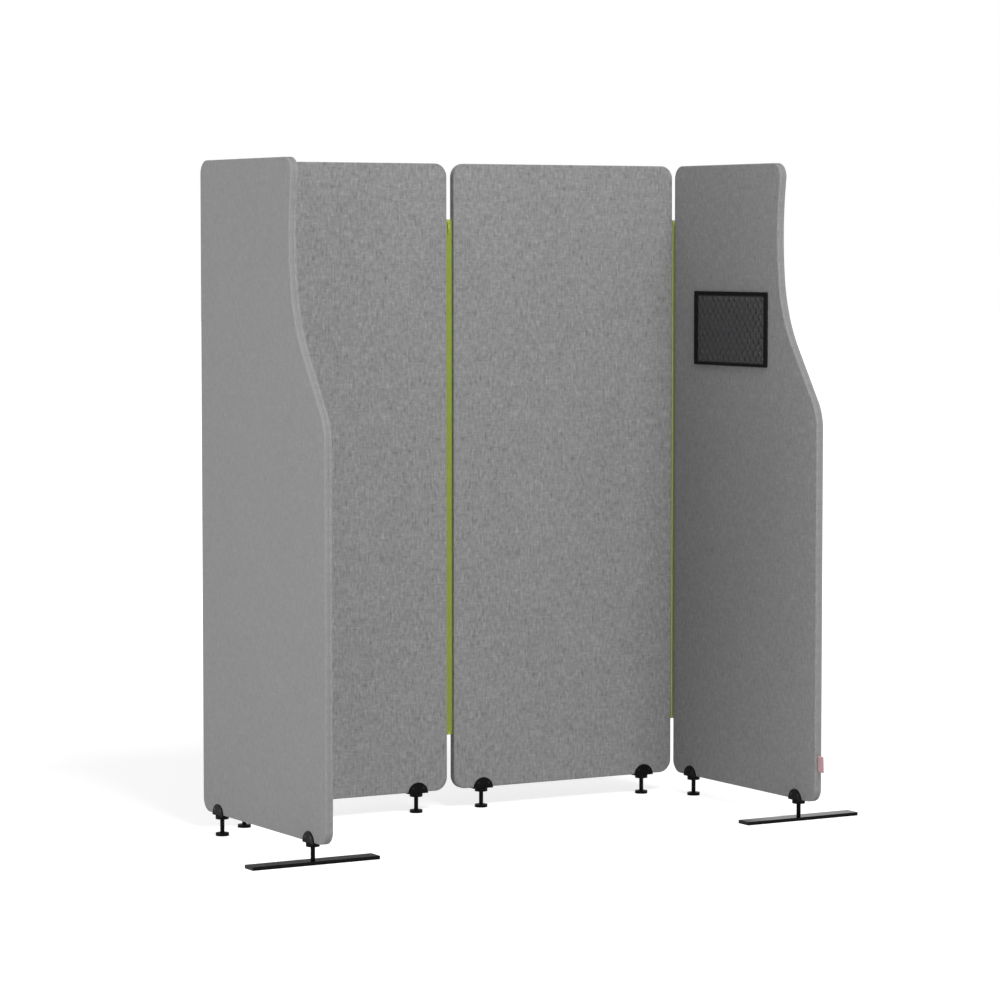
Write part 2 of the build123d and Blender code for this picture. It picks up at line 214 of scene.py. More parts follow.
# Fine grain of paint or moulded plastic, and a mask of light scuffs
def makeGrainGroup():
    tree, given, out = groupTree(
        "coatGrain",
        [("Vector", "NodeSocketVector", None), ("Grain", "NodeSocketFloat", 1500.0),
         ("Scuff", "NodeSocketFloat", 0.5)],
        [("Rough", "NodeSocketFloat"), ("Scuffs", "NodeSocketFloat"), ("Height", "NodeSocketFloat")],
    )
    grain = addNode(tree, "ShaderNodeTexNoise", {"Detail": 3.0})
    tree.links.new(given.outputs["Vector"], grain.inputs["Vector"])
    tree.links.new(given.outputs["Grain"], grain.inputs["Scale"])
    tree.links.new(grain.outputs["Fac"], out.inputs["Height"])
    smear = noiseOn(tree, given.outputs["Vector"], 28.0, 4, 0.65)
    tree.links.new(rangeOf(tree, smear, 0.3, 0.7, -1.0, 1.0), out.inputs["Rough"])
    lines = noiseOn(tree, scaleVector(tree, given.outputs["Vector"], (90.0, 90.0, 700.0)), 1.0, 3)
    marks = rangeOf(tree, lines, 0.66, 0.8, 0.0, 1.0)
    tree.links.new(mathNode(tree, "MULTIPLY", marks, given.outputs["Scuff"]), out.inputs["Scuffs"])
    return tree


weaveGroup = makeWeaveGroup()
tapeGroup = makeTapeGroup()
grainGroup = makeGrainGroup()


# Materials
def newMaterial(name, rough, **constants):
    made = bpy.data.materials.new(name)
    made.use_nodes = True
    tree = made.node_tree
    shader = tree.nodes["Principled BSDF"]
    shader.inputs["Roughness"].default_value = rough
    for label, value in constants.items():
        shader.inputs[label.replace("_", " ")].default_value = value
    return made, tree, shader


def placeGroup(tree, group, values, coordinate):
    made = addNode(tree, "ShaderNodeGroup", node_tree=group)
    for label, value in values.items():
        made.inputs[label].default_value = value
    source = tree.nodes.new("ShaderNodeTexCoord")
    tree.links.new(source.outputs[coordinate], made.inputs["Vector"])
    return made


def tintByTone(tree, shader, tone, dark, light):
    mix = addNode(tree, "ShaderNodeMix", data_type="RGBA")
    tree.links.new(rangeOf(tree, tone, -0.5, 0.5, 0.0, 1.0), mix.inputs[0])
    mix.inputs[6].default_value = (*dark, 1)
    mix.inputs[7].default_value = (*light, 1)
    tree.links.new(mix.outputs[2], shader.inputs["Base Color"])


def bumpFrom(tree, shader, height, strength, distance):
    bump = addNode(tree, "ShaderNodeBump", {"Strength": strength, "Distance": distance})
    tree.links.new(height, bump.inputs["Height"])
    tree.links.new(bump.outputs[0], shader.inputs["Normal"])


def clothMaterial(name, dark, light, threads, fleck, melange, rough=0.92):
    made, tree, shader = newMaterial(name, rough, Specular_IOR_Level=0.15, Sheen_Weight=0.12,
                                     Sheen_Roughness=0.5)
    weave = placeGroup(tree, weaveGroup, {"Threads": threads, "Fleck": fleck, "Melange": melange}, "UV")
    tintByTone(tree, shader, weave.outputs["Tone"], dark, light)
    bumpFrom(tree, shader, weave.outputs["Height"], 0.35, 0.3 * mm)
    return made


def tapeMaterial(name, dark, light, ribs, rough=0.85, shine=0.2):
    made, tree, shader = newMaterial(name, rough, Specular_IOR_Level=shine, Sheen_Weight=shine / 2)
    weave = placeGroup(tree, tapeGroup, {"Ribs": ribs}, "UV")
    tintByTone(tree, shader, weave.outputs["Tone"], dark, light)
    bumpFrom(tree, shader, weave.outputs["Height"], 0.5, 0.25 * mm)
    return made


def coatMaterial(name, colour, scuffed, rough, grain, grainDepth, spread, scuff=0.3, **constants):
    made, tree, shader = newMaterial(name, rough, **constants)
    coat = placeGroup(tree, grainGroup, {"Grain": grain, "Scuff": scuff}, "Object")
    mix = addNode(tree, "ShaderNodeMix", data_type="RGBA")
    tree.links.new(coat.outputs["Scuffs"], mix.inputs[0])
    mix.inputs[6].default_value = (*colour, 1)
    mix.inputs[7].default_value = (*scuffed, 1)
    tree.links.new(mix.outputs[2], shader.inputs["Base Color"])
    varied = mathNode(tree, "ADD", mathNode(tree, "MULTIPLY", coat.outputs["Rough"], spread), rough)
    tree.links.new(varied, shader.inputs["Roughness"])
    bumpFrom(tree, shader, coat.outputs["Height"], 0.4, grainDepth)
    return made


# Holes across and up the net's UV square
netLattice = (76.0, 62.0, 1.0)


def netMaterial(name, dark, light):
    made, tree, shader = newMaterial(name, 0.7, Specular_IOR_Level=0.3, Sheen_Weight=0.1)
    source = tree.nodes.new("ShaderNodeTexCoord")
    scaled = scaleVector(tree, source.outputs["UV"], netLattice)
    apart = tree.nodes.new("ShaderNodeSeparateXYZ")
    tree.links.new(scaled, apart.inputs[0])
    slants = []
    for operation in ("ADD", "SUBTRACT"):
        along = mathNode(tree, operation, apart.outputs["X"], apart.outputs["Y"])
        slants.append(mathNode(tree, "ABSOLUTE", mathNode(tree, "SINE",
                                                          mathNode(tree, "MULTIPLY", along, pi / 2))))
    hole = mathNode(tree, "MULTIPLY", slants[0], slants[1])
    yarn = mathNode(tree, "SUBTRACT", 1.0, hole)
    tree.links.new(rangeOf(tree, hole, 0.6, 0.66, 1.0, 0.0), shader.inputs["Alpha"])
    # strands are tinted by their own height, light along the middle and dark at the edges next to the holes:
    # painted shade
    tintByTone(tree, shader, mathNode(tree, "SUBTRACT", yarn, 0.5), dark, light)
    bumpFrom(tree, shader, yarn, 0.6, 0.3 * mm)
    return made


# Threaded rod: rings of thread show as a fine wave along Z under a satin black coat
def rodMaterial(name, colour, scuffed, pitch):
    made = coatMaterial(name, colour, scuffed, 0.42, 900.0, 0.03 * mm, 0.08, 0.5, Specular_IOR_Level=0.06)
    tree = made.node_tree
    shader = tree.nodes["Principled BSDF"]
    source = tree.nodes.new("ShaderNodeTexCoord")
    wave = addNode(tree, "ShaderNodeTexWave", {"Scale": 1.0}, bands_direction="Z", wave_profile="TRI")
    tree.links.new(scaleVector(tree, source.outputs["Object"], (0.0, 0.0, pi / (10 * pitch))),
                   wave.inputs["Vector"])
    bumpFrom(tree, shader, wave.outputs["Fac"], 0.5, 0.4 * mm)
    return made


# Fleece lining that shows in the seam
def liningMaterial(name, dark, light):
    made, tree, shader = newMaterial(name, 0.95, Specular_IOR_Level=0.1)
    source = tree.nodes.new("ShaderNodeTexCoord")
    grain = noiseOn(tree, scaleVector(tree, source.outputs["Object"], (700.0, 700.0, 300.0)), 1.0, 4, 0.6)
    tintByTone(tree, shader, mathNode(tree, "SUBTRACT", grain, 0.5), dark, light)
    bumpFrom(tree, shader, grain, 0.2, 0.2 * mm)
    return made


looks = {
    "coverDark": (0.150, 0.150, 0.150), "coverLight": (0.398, 0.398, 0.398),
    "limeDark": (0.20, 0.265, 0.035), "limeLight": (0.40, 0.515, 0.09),
    "blackTape": (0.0015, 0.0015, 0.0015), "blackTapeLight": (0.010, 0.010, 0.010),
    "pinkDark": (0.52, 0.32, 0.34), "pinkLight": (0.74, 0.48, 0.51),
    "liningDark": (0.22, 0.22, 0.22), "liningLight": (0.36, 0.36, 0.36),
}
materials = {
    "innerCover": clothMaterial("innerCoverCloth", looks["coverDark"], looks["coverLight"], 1150.0, 0.4,
                                0.55),
    "sideCover": clothMaterial("sideCoverCloth", looks["coverDark"], looks["coverLight"], 1150.0, 0.35, 0.36),
    "outerCover": clothMaterial("outerCoverCloth", looks["coverDark"], looks["coverLight"], 1150.0, 0.3, 0.2),
    "rail": liningMaterial("seamLining", looks["liningDark"], looks["liningLight"]),
    "core": clothMaterial("coreFelt", (0.2, 0.2, 0.2), (0.4, 0.4, 0.4), 500.0, 0.8, 0.2),
    "bracket": coatMaterial("bracketCoat", (0.003, 0.003, 0.003), (0.01, 0.01, 0.01), 0.5, 1600.0,
                            0.05 * mm, 0.1,
                            Specular_IOR_Level=0.07),
    "screw": coatMaterial("screwOxide", (0.02, 0.02, 0.021), (0.12, 0.12, 0.12), 0.35, 2500.0, 0.02 * mm,
                          0.08,
                          0.5, Metallic=1.0),
    "stem": rodMaterial("stemCoat", (0.003, 0.003, 0.003), (0.012, 0.012, 0.012), 1.5 * mm),
    "disc": coatMaterial("discPlastic", (0.003, 0.003, 0.003), (0.012, 0.012, 0.012), 0.5, 900.0, 0.06 * mm,
                         0.1,
                         Specular_IOR_Level=0.06),
    "bar": coatMaterial("barGloss", (0.002, 0.002, 0.002), (0.012, 0.012, 0.012), 0.16, 300.0, 0.006 * mm,
                        0.04,
                        0.1, Specular_IOR_Level=0.08),
    "zipTape": tapeMaterial("zipTape", looks["limeDark"], looks["limeLight"], 1300.0),
    "zipCoil": coatMaterial("zipCoil", (0.30, 0.36, 0.05), (0.5, 0.55, 0.2), 0.45, 1200.0, 0.04 * mm, 0.1),
    "zipEnamel": coatMaterial("zipEnamel", (0.38, 0.46, 0.07), (0.6, 0.65, 0.4), 0.3, 800.0, 0.02 * mm, 0.08),
    "binding": tapeMaterial("bindingTape", looks["blackTape"], looks["blackTapeLight"], 700.0, 0.9, 0.06),
    "gusset": clothMaterial("gussetCloth", looks["blackTape"], looks["blackTapeLight"], 1500.0, 0.4, 0.1),
    "net": netMaterial("pocketNet", (0.008, 0.008, 0.008), (0.056, 0.056, 0.056)),
    "thread": coatMaterial("sewingThread", (0.010, 0.010, 0.010), (0.03, 0.03, 0.03), 0.7, 2500.0,
                           0.05 * mm, 0.1),
    "tab": clothMaterial("tabCloth", looks["pinkDark"], looks["pinkLight"], 2200.0, 0.4, 0.15),
    "tabThread": coatMaterial("tabThread", (0.5, 0.34, 0.36), (0.6, 0.45, 0.47), 0.7, 2500.0, 0.05 * mm, 0.1),
}
print("materials made:", len(materials))


# Frames of reference: X along a panel or zip from its start, Y up, Z along the panel's own normal
def standingMatrix(start, along):
    along = Vector(along).normalized()
    up = Vector((0, 0, 1))
    normal = along.cross(up)
    matrix = Matrix((along, up, normal)).transposed().to_4x4()
    matrix.translation = Vector(start)
    return matrix


panelSet = {
    "back_left": {"along": (-1, 0, 0), "waved": False, "inner": -1, "cloth": "innerCover"},
    "back_right": {"along": (1, 0, 0), "waved": False, "inner": 1, "cloth": "innerCover"},
    "left_wing": {"along": (0, -1, 0), "waved": True, "inner": -1, "cloth": "sideCover"},
    "right_wing": {"along": (0, -1, 0), "waved": True, "inner": 1, "cloth": "sideCover"},
}


def panelMatrix(name):
    lows, highs = zip(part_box(f"inner_cover_{name}"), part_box(f"outer_cover_{name}"))
    low = Vector(map(min, *lows))
    high = Vector(map(max, *highs))
    along = Vector(panelSet[name]["along"])
    start = (low + high) / 2
    start.z = low.z
    start -= along * abs((high - low).dot(along)) / 2
    return standingMatrix(start, along), abs((high - low).dot(along)), high.z - low.z


# Drawing with a pen: straight runs and turns of a radius
def penDown(bm, x, y):
    return {"bm": bm, "tip": bm.verts.new((x, y, 0)), "heading": 0.0}


def penLine(pen, length):
    moved = bmesh.ops.extrude_vert_indiv(pen["bm"], verts=[pen["tip"]])["verts"]
    step = Vector((cos(radians(pen["heading"])), sin(radians(pen["heading"])), 0)) * length
    bmesh.ops.translate(pen["bm"], verts=moved, vec=step)
    pen["tip"] = moved[0]


def penTurn(pen, radius, turn, steps):
    way = 1 if turn > 0 else -1
    side = Vector((-sin(radians(pen["heading"])), cos(radians(pen["heading"])), 0)) * way
    spun = bmesh.ops.spin(pen["bm"], geom=[pen["tip"]], cent=pen["tip"].co + side * radius, axis=(0, 0, 1),
                          angle=radians(turn), steps=steps)
    pen["tip"] = next(v for v in spun["geom_last"] if isinstance(v, bmesh.types.BMVert))
    pen["heading"] += turn


def closeFace(bm):
    bmesh.ops.remove_doubles(bm, verts=bm.verts[:], dist=0.05 * mm)
    face = bmesh.ops.contextual_create(bm, geom=bm.edges[:])["faces"][0]
    if face.normal.z < 0:
        face.normal_flip()
    return face


# The curved front edge of the wings
waveSet = {"drop": 705 * mm, "bend": 132 * mm, "slope": 163 * mm, "dip": 416 * mm, "flank": 1027 * mm,
           "turn": 34, "dipTurn": 27.3}
coverSet = {"corner": 36 * mm, "face": 11 * mm, "edgeRound": 3 * mm, "seamHalf": 1.5 * mm,
            "seamRound": 1.4 * mm,
            "wall": 3 * mm, "cornerSteps": 12, "roundSteps": 6, "seamSteps": 4}


def drawPanel(bm, width, height, waved):
    corner, steps = coverSet["corner"], coverSet["cornerSteps"]
    pen = penDown(bm, corner, 0)
    penLine(pen, width - 2 * corner)
    penTurn(pen, corner, 90, steps)
    if waved:
        wave = waveSet
        full, rest = radians(wave["turn"]), radians(wave["turn"] - wave["dipTurn"])
        left = (wave["drop"] - wave["bend"] * sin(full) - wave["slope"] * cos(full)
                - wave["dip"] * (sin(full) - sin(rest)))
        lean = degrees(asin((left - wave["flank"] * sin(rest) - corner) / (wave["flank"] + corner)))
        penLine(pen, height - corner - wave["drop"])
        penTurn(pen, wave["bend"], wave["turn"], 12)
        penLine(pen, wave["slope"])
        penTurn(pen, wave["dip"], -wave["dipTurn"], 18)
        penTurn(pen, wave["flank"], wave["dipTurn"] - wave["turn"] - lean, 20)
        penTurn(pen, corner, 90 + lean, steps)
        penLine(pen, pen["tip"].co.x - corner)
    else:
        penLine(pen, height - 2 * corner)
        penTurn(pen, corner, 90, steps)
        penLine(pen, width - 2 * corner)
    penTurn(pen, corner, 90, steps)
    penLine(pen, height - 2 * corner)
    penTurn(pen, corner, 90, steps)
    return closeFace(bm)


def insetFace(bm, face, thickness, depth):
    bmesh.ops.inset_region(bm, faces=[face], thickness=thickness, depth=depth, use_even_offset=True)


def roundFace(bm, face, radius, steps):
    for step in range(steps):
        one, two = (pi / 2 * part / steps for part in (step, step + 1))
        insetFace(bm, face, radius * (cos(one) - cos(two)), radius * (sin(two) - sin(one)))


# UVs in metres, carried round the edges by how far a point lies below the face
def layCloth(bm, face):
    layer = bm.loops.layers.uv.new("cloth")
    bm.normal_update()
    for polygon in bm.faces:
        for loop in polygon.loops:
            spot, normal = loop.vert.co, loop.vert.normal
            out = Vector((normal.x, normal.y))
            fall = out.normalized() * (face - abs(spot.z)) if out.length > 0.3 else Vector((0, 0))
            loop[layer].uv = (spot.x + fall.x, spot.y + fall.y)


def finishPiece(bm, name, matrix, material, body, replaced=(), smooth=True):
    bmesh.ops.recalc_face_normals(bm, faces=bm.faces[:])
    bmesh.ops.transform(bm, matrix=matrix, verts=bm.verts[:])
    mesh = bpy.data.meshes.new(name)
    bm.to_mesh(mesh)
    bm.free()
    for polygon in mesh.polygons:
        polygon.use_smooth = smooth
    mesh.materials.append(material)
    made = bpy.data.objects.new(name, mesh)
    bpy.context.scene.collection.objects.link(made)
    if replaced:
        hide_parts(*replaced)
    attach(made, body)
    return made


def makeCover(name, side):
    settings = coverSet
    matrix, width, height = panelMatrix(name)
    sign = panelSet[name]["inner"] * (1 if side == "inner" else -1)
    bm = bmesh.new()
    base = drawPanel(bm, width, height, panelSet[name]["waved"])
    bmesh.ops.translate(bm, verts=bm.verts[:], vec=(0, 0, settings["seamHalf"] + settings["seamRound"]))
    body = bmesh.ops.extrude_face_region(bm, geom=[base])["geom"]
    front = next(g for g in body if isinstance(g, bmesh.types.BMFace))
    rise = settings["face"] - settings["edgeRound"] - settings["seamHalf"] - settings["seamRound"]
    bmesh.ops.translate(bm, verts=list(front.verts), vec=(0, 0, rise))
    bmesh.ops.recalc_face_normals(bm, faces=bm.faces[:])
    roundFace(bm, front, settings["edgeRound"], settings["roundSteps"])
    for thickness, depth in ((6 * mm, 0.08 * mm), (18 * mm, 0.12 * mm)):
        insetFace(bm, front, thickness, depth)
    back = min(bm.faces, key=lambda f: f.calc_center_median().z)
    roundFace(bm, back, settings["seamRound"], settings["seamSteps"])
    insetFace(bm, back, settings["wall"] - settings["seamRound"], 0)
    hollow = bmesh.ops.extrude_face_region(bm, geom=[back])["geom"]
    floor = next(g for g in hollow if isinstance(g, bmesh.types.BMFace))
    depth = settings["face"] - settings["wall"] - settings["seamHalf"]
    bmesh.ops.translate(bm, verts=list(floor.verts), vec=(0, 0, depth))
    layCloth(bm, settings["face"])
    if sign < 0:
        bmesh.ops.scale(bm, vec=(1, 1, -1), verts=bm.verts[:])
    cloth = materials[panelSet[name]["cloth"] if side == "inner" else "outerCover"]
    made = finishPiece(bm, f"cloth_{side}_{name}", matrix, cloth, f"panel_{name}",
                       [f"{side}_cover_{name}"])
    return made


for panelName in panelSet:
    for coverSide in ("inner", "outer"):
        makeCover(panelName, coverSide)
print("covers made")

# Zips: each runs between two fold lines, whose places are the joints' own
zipSet = {
    "centre": {"folds": ("centre_zip_fold", "back_right_fold"), "panels": ("back_left", "back_right")},
    "left_corner": {"folds": ("left_zip_fold", "left_wing_fold"), "panels": ("back_left", "left_wing")},
    "right_corner": {"folds": ("right_zip_fold", "right_wing_fold"), "panels": ("back_right", "right_wing")},
}
tapeSet = {"bead": 1.15 * mm, "half": 0.42 * mm, "edge": 7.4 * mm, "beadSteps": 18}
coilSet = {"tooth": (3.8 * mm, 1.08 * mm, 1.0 * mm), "bevel": 0.28 * mm, "inset": 1.05 * mm, "doublings": 9}
jointPlaces = {j["name"]: j for j in frame["joints"]}


def zipMatrix(name):
    start, end = (Vector(jointPlaces[fold]["pos_m"]) for fold in zipSet[name]["folds"])
    low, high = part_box(f"zip_tapes_{name}")
    start.z = end.z = low.z
    return standingMatrix(start, end - start), (end - start).length, high.z - low.z


def makeTape(name, far):
    settings = tapeSet
    matrix, gap, height = zipMatrix(name)
    bm = bmesh.new()
    lean = asin(settings["half"] / settings["bead"])
    neck = settings["bead"] * cos(lean)
    pen = penDown(bm, neck, -settings["half"])
    penLine(pen, settings["edge"] - neck)
    pen["heading"] = 90
    penLine(pen, 2 * settings["half"])
    pen["heading"] = 180
    penLine(pen, settings["edge"] - neck)
    spun = bmesh.ops.spin(bm, geom=[pen["tip"]], cent=(0, 0, 0), axis=(0, 0, 1), angle=2 * pi - 2 * lean,
                          steps=settings["beadSteps"])
    pen["tip"] = next(v for v in spun["geom_last"] if isinstance(v, bmesh.types.BMVert))
    section = closeFace(bm)
    # stand the section up: its own Y becomes the zip's Z, and it is drawn out along the zip's Y
    bmesh.ops.rotate(bm, verts=bm.verts[:], cent=(0, 0, 0), matrix=Matrix.Rotation(-pi / 2, 3, "X"))
    drawn = bmesh.ops.extrude_face_region(bm, geom=[section])["geom"]
    bmesh.ops.translate(bm, verts=[g for g in drawn if isinstance(g, bmesh.types.BMVert)], vec=(0, height, 0))
    layer = bm.loops.layers.uv.new("cloth")
    for polygon in bm.faces:
        for loop in polygon.loops:
            loop[layer].uv = (loop.vert.co.x, loop.vert.co.y)
    if far:
        bmesh.ops.scale(bm, vec=(-1, 1, 1), verts=bm.verts[:])
        bmesh.ops.translate(bm, vec=(gap, 0, 0), verts=bm.verts[:])
    made = finishPiece(bm, f"tape_{'far' if far else 'near'}_{name}", matrix, materials["zipTape"],
                       f"zip_{name}",
                       [f"zip_tapes_{name}"], smooth=False)
    return made


def makeBlock(bm, middle, size, bevel):
    made = bmesh.ops.create_cube(bm, size=1)["verts"]
    bmesh.ops.scale(bm, vec=size, verts=made)
    bmesh.ops.translate(bm, vec=middle, verts=made)
    edges = list({edge for vert in made for edge in vert.link_edges})
    bmesh.ops.bevel(bm, geom=edges, offset=bevel, offset_type="OFFSET", segments=1, profile=0.5,
                    affect="EDGES", material=-1)


def makeCoil(name):
    settings = coilSet
    matrix, gap, _ = zipMatrix(name)
    low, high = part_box(f"zip_chain_{name}")
    length = high.z - low.z
    foot = low.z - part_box(f"zip_tapes_{name}")[0].z
    count = 2 ** settings["doublings"]
    pitch = length / count
    bm = bmesh.new()
    width, tall, thick = settings["tooth"][0], settings["tooth"][1], settings["tooth"][2]
    for way, lift in ((-1, 0.25), (1, 0.75)):
        makeBlock(bm, (gap / 2 + way * settings["inset"], foot + pitch * lift, 0), (width, tall, 2 * thick),
                  settings["bevel"])
    step = pitch
    for _ in range(settings["doublings"]):
        copied = bmesh.ops.duplicate(bm, geom=bm.verts[:] + bm.edges[:] + bm.faces[:])["geom"]
        bmesh.ops.translate(bm, vec=(0, step, 0), verts=[g for g in copied if isinstance(g,
                                                                                         bmesh.types.BMVert)])
        step *= 2
    makeBlock(bm, (gap / 2, foot + length / 2, 0), (5.8 * mm, length, 0.9 * mm), 0.2 * mm)
    made = finishPiece(bm, f"coil_{name}", matrix, materials["zipCoil"], f"zip_{name}", [f"zip_chain_{name}"],
                       smooth=False)
    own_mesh(made)
    return made


# Metal stops on the tapes: a box at the foot and two at the head
stopSet = {"box": (7.2 * mm, 8 * mm, 3.6 * mm), "head": (3.3 * mm, 4 * mm, 3.2 * mm), "bevel": 0.35 * mm,
           "headSpread": 1.75 * mm}


def makeStops(name):
    settings = stopSet
    matrix, gap, height = zipMatrix(name)
    bm = bmesh.new()
    makeBlock(bm, (gap / 2, settings["box"][1] / 2, 0), settings["box"], settings["bevel"])
    for way in (-1, 1):
        middle = (gap / 2 + way * settings["headSpread"], height - settings["head"][1] / 2, 0)
        makeBlock(bm, middle, settings["head"], settings["bevel"])
    return finishPiece(bm, f"stops_{name}", matrix, materials["zipEnamel"], f"zip_{name}", (),
                       smooth=False)


for zipName in zipSet:
    for farSide in (False, True):
        makeTape(zipName, farSide)
    makeCoil(zipName)
    makeStops(zipName)
print("zips made")

# Pocket on the right wing, placed by its CAD pieces
pocketSet = {"rear": 20 * mm, "front": 13.5 * mm, "top": 11.5 * mm, "low": 9 * mm, "thick": 1.0 * mm,
             "corner": 4 * mm, "bulge": 1.2 * mm, "stitch": 2.6 * mm, "stitchGap": 1.2 * mm,
             "netCells": (44, 26)}


def pocketFrame():
    matrix, _, _ = panelMatrix("right_wing")
    back = matrix.inverted()
    low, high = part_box("pocket_mesh")
    corners = [back @ low, back @ high]
    small = Vector(map(min, *corners))
    large = Vector(map(max, *corners))
    return matrix, small, large


def makeNet():
    settings = pocketSet
    matrix, small, large = pocketFrame()
    size = large - small
    bm = bmesh.new()
    columns, rows = settings["netCells"]
    bmesh.ops.create_grid(bm, x_segments=columns, y_segments=rows, size=0.5)
    bmesh.ops.scale(bm, vec=(size.x - 2 * mm, size.y - 2 * mm, 1), verts=bm.verts[:])
    layer = bm.loops.layers.uv.new("cloth")
    for polygon in bm.faces:
        for loop in polygon.loops:
            loop[layer].uv = (loop.vert.co.x, loop.vert.co.y)
    for vert in bm.verts:
        across, up = vert.co.x / size.x, vert.co.y / size.y
        slack = cos(pi * across) * cos(pi * up * 0.98)
        ripple = sin(5.3 * pi * across + 2 * up) * (up + 0.5) * 0.25
        vert.co.z = settings["bulge"] * slack * (0.8 + ripple)
    bmesh.ops.translate(bm, vec=((small.x + large.x) / 2, (small.y + large.y) / 2, (small.z + large.z) / 2),
                        verts=bm.verts[:])
    made = finishPiece(bm, "net_front", matrix, materials["net"], "panel_right_wing", ["pocket_mesh"])
    return made


def makeBinding():
    settings = pocketSet
    matrix, small, large = pocketFrame()
    low, high = (matrix.inverted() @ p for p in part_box("pocket_binding"))
    bottom = min(low.z, high.z) - settings["thick"] / 2
    size = large - small
    bm = bmesh.new()
    bmesh.ops.create_grid(bm, x_segments=1, y_segments=1, size=0.5)
    bmesh.ops.scale(bm, vec=(size.x, size.y, 1), verts=bm.verts[:])
    bmesh.ops.translate(bm, vec=((small.x + large.x) / 2, (small.y + large.y) / 2, bottom), verts=bm.verts[:])
    lower = [v for v in bm.verts if v.co.y < (small.y + large.y) / 2]
    bmesh.ops.bevel(bm, geom=lower, offset=settings["corner"], offset_type="OFFSET", segments=5, profile=0.5,
                    affect="VERTICES", material=-1)
    cuts = (((small.x + settings["rear"], 0, 0), (1, 0, 0)), ((large.x - settings["front"], 0, 0), (1, 0, 0)),
            ((0, small.y + settings["low"], 0), (0, 1, 0)), ((0, large.y - settings["top"], 0), (0, 1, 0)))
    for spot, normal in cuts:
        bmesh.ops.bisect_plane(bm, geom=bm.verts[:] + bm.edges[:] + bm.faces[:], plane_co=spot,
                               plane_no=normal)
    middle = min(bm.faces, key=lambda f: (f.calc_center_median() - (small + large) / 2).length)
    bmesh.ops.delete(bm, geom=[middle], context="FACES_ONLY")
    drawn = bmesh.ops.extrude_face_region(bm, geom=bm.faces[:])["geom"]
    bmesh.ops.translate(bm, verts=[g for g in drawn if isinstance(g, bmesh.types.BMVert)],
                        vec=(0, 0, settings["thick"]))
    bmesh.ops.recalc_face_normals(bm, faces=bm.faces[:])
    bm.normal_update()
    sharp = [e for e in bm.edges if len(e.link_faces) == 2 and e.calc_face_angle() > 1
             and min(v.co.z for v in e.verts) > bottom + settings["thick"] / 2]
    bmesh.ops.bevel(bm, geom=sharp, offset=0.4 * mm, offset_type="OFFSET", segments=2, profile=0.5,
                    affect="EDGES", material=-1)
    layCloth(bm, abs(bottom) + settings["thick"])
    made = finishPiece(bm, "binding_edge", matrix, materials["binding"], "panel_right_wing",
                       ["pocket_binding"],
                       smooth=False)
    return made


def makeGusset():
    settings = pocketSet
    matrix, small, large = pocketFrame()
    low, high = (matrix.inverted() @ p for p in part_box("pocket_gusset"))
    base, depth = min(low.z, high.z), abs(high.z - low.z)
    size = large - small
    bm = bmesh.new()
    pen = penDown(bm, small.x + 0.5 * mm, large.y)
    pen["heading"] = -90
    for run in (size.y - settings["corner"], size.x - 2 * settings["corner"]):
        penLine(pen, run - 0.5 * mm)
        penTurn(pen, settings["corner"], 90, 6)
    penLine(pen, size.y - settings["corner"] - 0.5 * mm)
    drawn = bmesh.ops.extrude_edge_only(bm, edges=bm.edges[:])["geom"]
    bmesh.ops.translate(bm, verts=[g for g in drawn if isinstance(g, bmesh.types.BMVert)], vec=(0, 0, depth))
    bmesh.ops.translate(bm, verts=bm.verts[:], vec=(0, 0, base))
    layer = bm.loops.layers.uv.new("cloth")
    for polygon in bm.faces:
        for loop in polygon.loops:
            loop[layer].uv = (loop.vert.co.x + loop.vert.co.y, loop.vert.co.z)
    made = finishPiece(bm, "gusset_side", matrix, materials["gusset"], "panel_right_wing", ["pocket_gusset"])
    thicken = made.modifiers.new("thicken", "SOLIDIFY")
    thicken.thickness = 0.8 * mm
    thicken.offset = 0
    return made


# Straight rows of stitches, each stitch a short rounded dash
def addStitches(bm, start, end, lift, settings):
    run = end - start
    pitch = settings["stitch"] + settings["stitchGap"]
    count = int(run.length / pitch)
    along = run.normalized()
    turn = Matrix.Rotation(along.to_2d().angle_signed(Vector((1, 0)), 0), 3, "Z")
    for number in range(count):
        made = bmesh.ops.create_cube(bm, size=1)["verts"]
        bmesh.ops.scale(bm, vec=(settings["stitch"], 0.5 * mm, 0.4 * mm), verts=made)
        ends = [v for v in made if v.co.z > 0]
        bmesh.ops.scale(bm, vec=(0.8, 0.6, 1), verts=ends)
        bmesh.ops.rotate(bm, verts=made, cent=(0, 0, 0), matrix=turn)
        spot = start + along * pitch * (number + 0.5)
        bmesh.ops.translate(bm, vec=(spot.x, spot.y, lift), verts=made)


def makePocketStitches():
    settings = pocketSet
    matrix, small, large = pocketFrame()
    low, high = (matrix.inverted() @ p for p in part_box("pocket_binding"))
    top = min(low.z, high.z) + settings["thick"] / 2
    bm = bmesh.new()
    inner = 1.8 * mm
    left, right = small.x + settings["rear"] - inner, large.x - settings["front"] + inner
    foot, head = small.y + settings["low"] - inner, large.y - settings["top"] + inner
    corners = [Vector((left, foot, 0)), Vector((right, foot, 0)), Vector((right, head, 0)),
               Vector((left, head, 0))]
    for number, corner in enumerate(corners):
        addStitches(bm, corner, corners[(number + 1) % 4], top, settings)
    edge = 2 * mm
    rim = [Vector((small.x + edge, large.y, 0)), Vector((small.x + edge, small.y + edge, 0)),
           Vector((large.x - edge, small.y + edge, 0)), Vector((large.x - edge, large.y, 0))]
    for number in range(3):
        addStitches(bm, rim[number], rim[number + 1], top, settings)
    return finishPiece(bm, "pocket_stitches", matrix, materials["thread"], "panel_right_wing", (),
                       smooth=False)


makeNet()
makeBinding()
makeGusset()
makePocketStitches()
print("pocket made")

# Blank cloth tab, folded over at its outer edge and sewn into the seam
tabSet = {"cloth": 0.45 * mm, "half": 0.34 * mm, "curl": 1.6 * mm}


